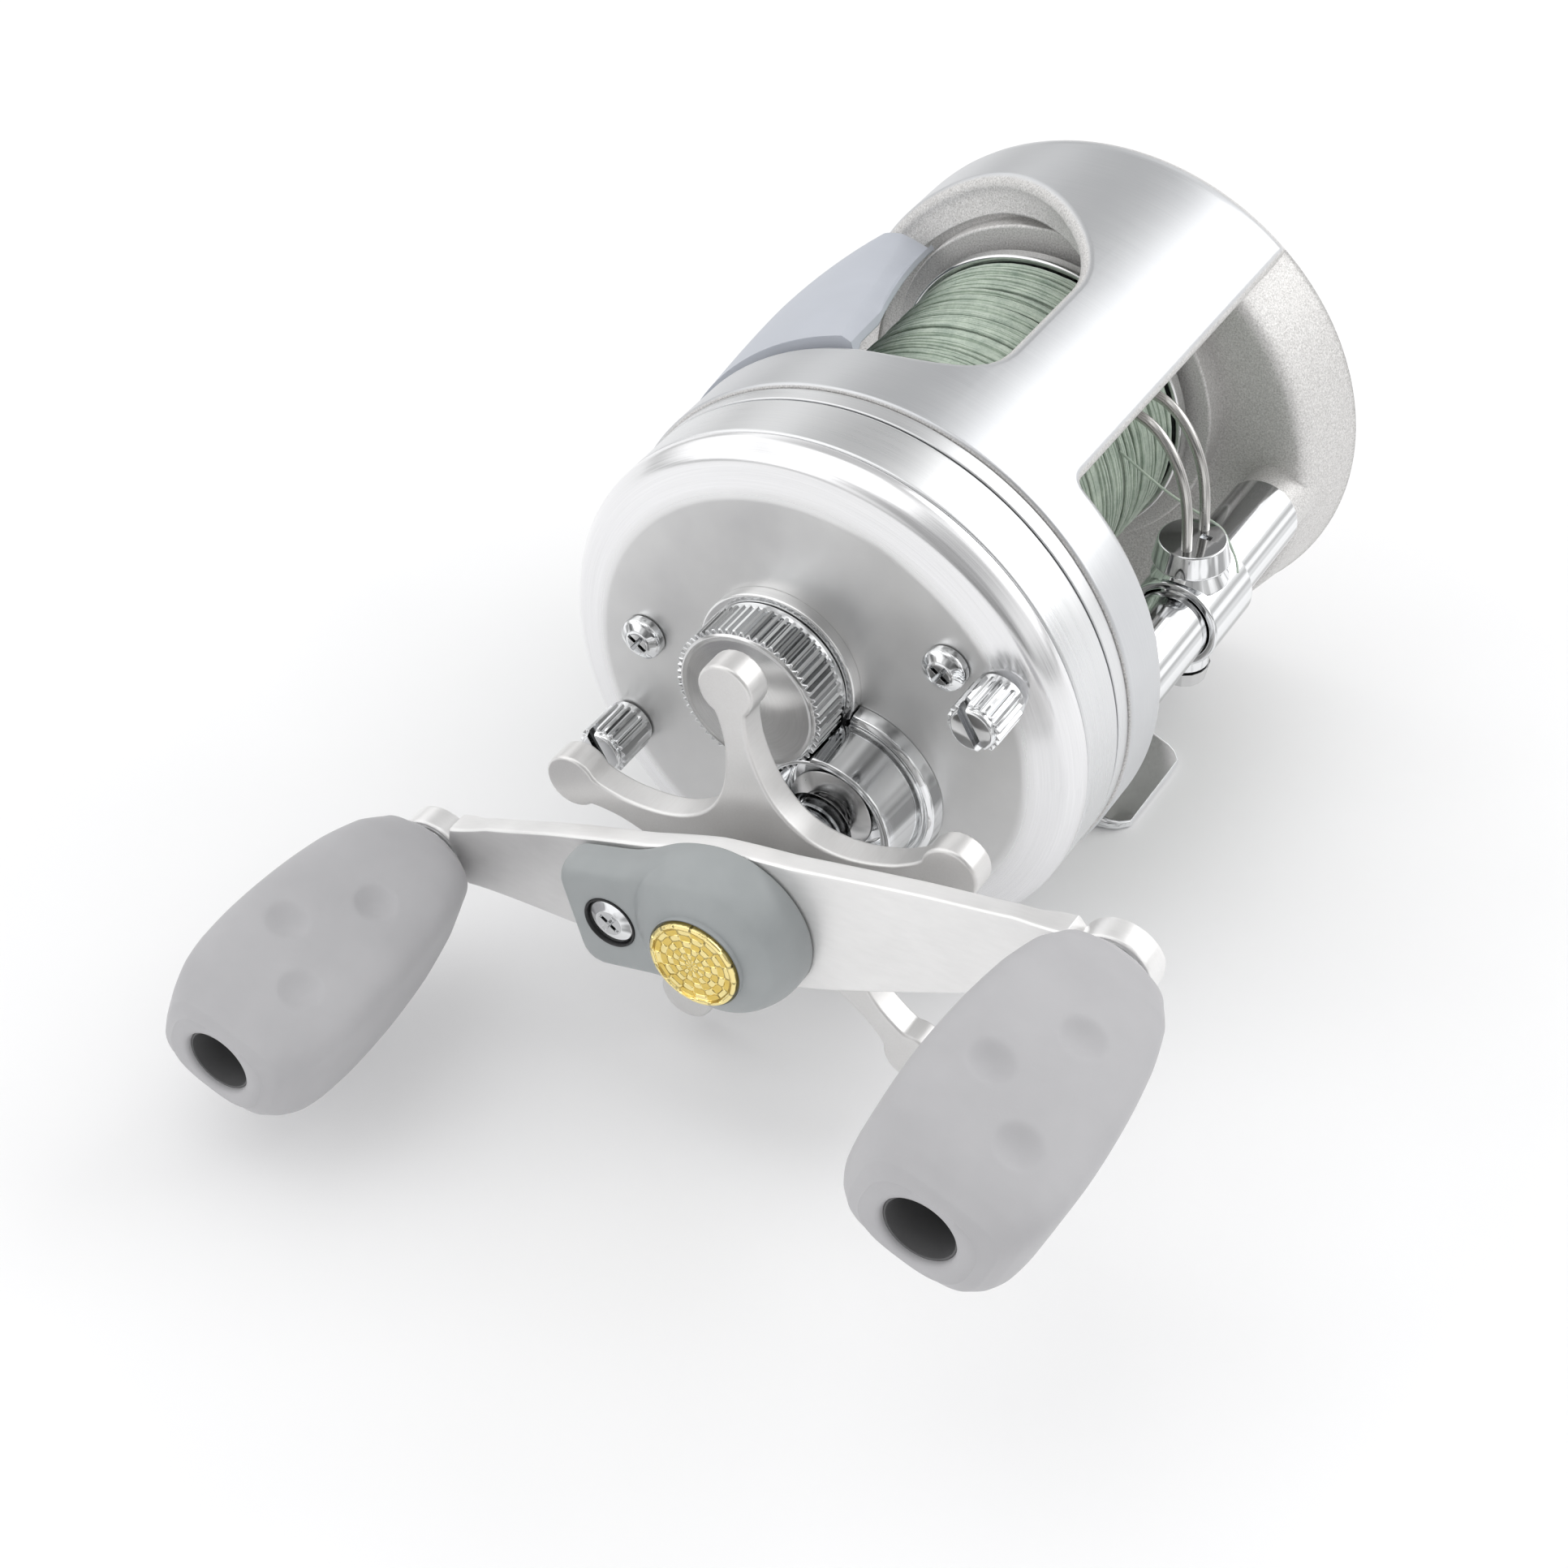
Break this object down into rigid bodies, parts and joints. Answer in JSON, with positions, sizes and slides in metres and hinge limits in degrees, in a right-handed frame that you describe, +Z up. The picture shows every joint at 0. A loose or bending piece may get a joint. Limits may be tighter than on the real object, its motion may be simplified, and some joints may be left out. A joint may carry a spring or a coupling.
{
  "type": "baitcasting reel",
  "caption": "Round baitcasting fishing reel with a round one-piece frame, level-wind line guide, star drag, thumb bar and paddle-grip double handle.",
  "frame": {"origin": "centre of the underside of the reel foot, where it sits on the rod", "axes": "+X along the spool axis away from the handle, -Y towards the rod tip where the line leaves, +Z up from the rod"},
  "size_m": [0.1057, 0.0836, 0.0523],
  "materials": {
    "aluminium": "turned and brushed round the axis, clear anodised",
    "satin": "fine satin, clear anodised",
    "chrome": "bright chrome plate",
    "steel": "bright drawn stainless",
    "brass": "machined",
    "gold": "gold plated, struck relief",
    "bluegrey": "fine matt moulding",
    "coverplastic": "satin moulding",
    "rubber": "soft touch, matt",
    "fibre": "woven friction lining",
    "black": "moulded acetal",
    "line": "braided line in crossed layers"
  },
  "bodies": {
    "body": {"frame": "aluminium", "foot": "chrome", "foot_screw_front": "steel", "foot_screw_rear": "steel", "side_cover": "satin", "gear_ring": "aluminium", "gear_plate": "aluminium", "cover_screw_front": "chrome", "cover_screw_rear": "chrome", "bearing_handle_side": "steel", "bearing_palm_side": "steel", "brake_ring": "brass", "level_wind_tube": "chrome", "shaft_collar": "chrome"},
    "handle": {"drive_shaft": "steel", "main_gear": "brass", "drag_washer": "fibre", "pressure_plate": "steel", "ratchet_wheel": "steel", "drive_cog": "brass", "spring_cup": "chrome", "drag_spring_washer": "steel", "handle_blade": "satin", "handle_nut": "chrome", "nut_cover": "coverplastic", "nut_cover_screw": "chrome", "medallion": "gold", "knob_post_front": "chrome", "knob_post_rear": "chrome"},
    "star": {"star_drag": "satin"},
    "front_knob": {"knob_front": "rubber"},
    "rear_knob": {"knob_rear": "rubber"},
    "spool_group": {"spool": "chrome", "spool_shaft": "steel", "line_pack": "line", "brake_hub": "black", "brake_block_upper": "black", "brake_block_lower": "black"},
    "yoke": {"clutch_yoke": "steel"},
    "pinion": {"pinion_gear": "brass"},
    "thumb": {"thumb_bar": "bluegrey", "clutch_link": "steel"},
    "idler": {"idler_cog": "black"},
    "worm": {"worm_shaft": "steel", "worm_cog": "black"},
    "guide": {"carriage": "chrome", "guide_cap": "chrome", "line_guide": "steel", "pawl": "brass", "pawl_nut": "steel"},
    "cap": {"tension_cap": "chrome", "tension_shim": "brass"},
    "front_thumb_screw": {"thumb_screw_front": "chrome"},
    "rear_thumb_screw": {"thumb_screw_rear": "chrome"}
  },
  "joints": [
    {"name": "handle_turn", "type": "hinge", "parent": "body", "child": "handle", "pos_m": [0, -0.01505, 0.0215], "axis": [1, 0, 0], "continuous": true},
    {"name": "star_turn", "type": "hinge", "parent": "handle", "child": "star", "pos_m": [0, -0.01505, 0.0215], "axis": [1, 0, 0], "range_deg": [-180, 180]},
    {"name": "front_knob_turn", "type": "hinge", "parent": "handle", "child": "front_knob", "pos_m": [0, -0.04744, 0.03006], "axis": [1, 0, 0], "continuous": true},
    {"name": "rear_knob_turn", "type": "hinge", "parent": "handle", "child": "rear_knob", "pos_m": [0, 0.01734, 0.01294], "axis": [1, 0, 0], "continuous": true},
    {"name": "spool_turn", "type": "hinge", "parent": "body", "child": "spool_group", "pos_m": [0, -0.00805, 0.0313], "axis": [1, 0, 0], "continuous": true},
    {"name": "thumb_bar_press", "type": "slide", "parent": "body", "child": "thumb", "axis": [0, 0, -1], "range_m": [0, 0.0025]},
    {"name": "yoke_slide", "type": "slide", "parent": "body", "child": "yoke", "axis": [-1, 0, 0], "range_m": [0, 0.0008]},
    {"name": "pinion_turn", "type": "hinge", "parent": "yoke", "child": "pinion", "pos_m": [0, -0.00805, 0.0313], "axis": [1, 0, 0], "continuous": true},
    {"name": "idler_turn", "type": "hinge", "parent": "body", "child": "idler", "pos_m": [0, -0.02416, 0.02372], "axis": [1, 0, 0], "continuous": true},
    {"name": "worm_turn", "type": "hinge", "parent": "body", "child": "worm", "pos_m": [0, -0.03065, 0.0253], "axis": [1, 0, 0], "continuous": true},
    {"name": "level_wind_slide", "type": "slide", "parent": "body", "child": "guide", "axis": [1, 0, 0], "range_m": [-0.0105, 0.0123]},
    {"name": "tension_cap_turn", "type": "hinge", "parent": "body", "child": "cap", "pos_m": [0, -0.00805, 0.0313], "axis": [1, 0, 0], "range_deg": [-180, 180]},
    {"name": "front_thumb_screw_turn", "type": "hinge", "parent": "body", "child": "front_thumb_screw", "pos_m": [0, -0.02847, 0.03603], "axis": [1, 0, 0], "range_deg": [-180, 180]},
    {"name": "rear_thumb_screw_turn", "type": "hinge", "parent": "body", "child": "rear_thumb_screw", "pos_m": [0, 0.00797, 0.01857], "axis": [1, 0, 0], "range_deg": [-180, 180]}
  ],
  "couplings": [
    {"joint": "spool_turn", "follows": "handle_turn", "ratio": -5.1429},
    {"joint": "pinion_turn", "follows": "handle_turn", "ratio": -5.1429},
    {"joint": "idler_turn", "follows": "handle_turn", "ratio": -1.3125},
    {"joint": "worm_turn", "follows": "handle_turn", "ratio": 2.1},
    {"joint": "yoke_slide", "follows": "thumb_bar_press", "ratio": 0.32}
  ]
}
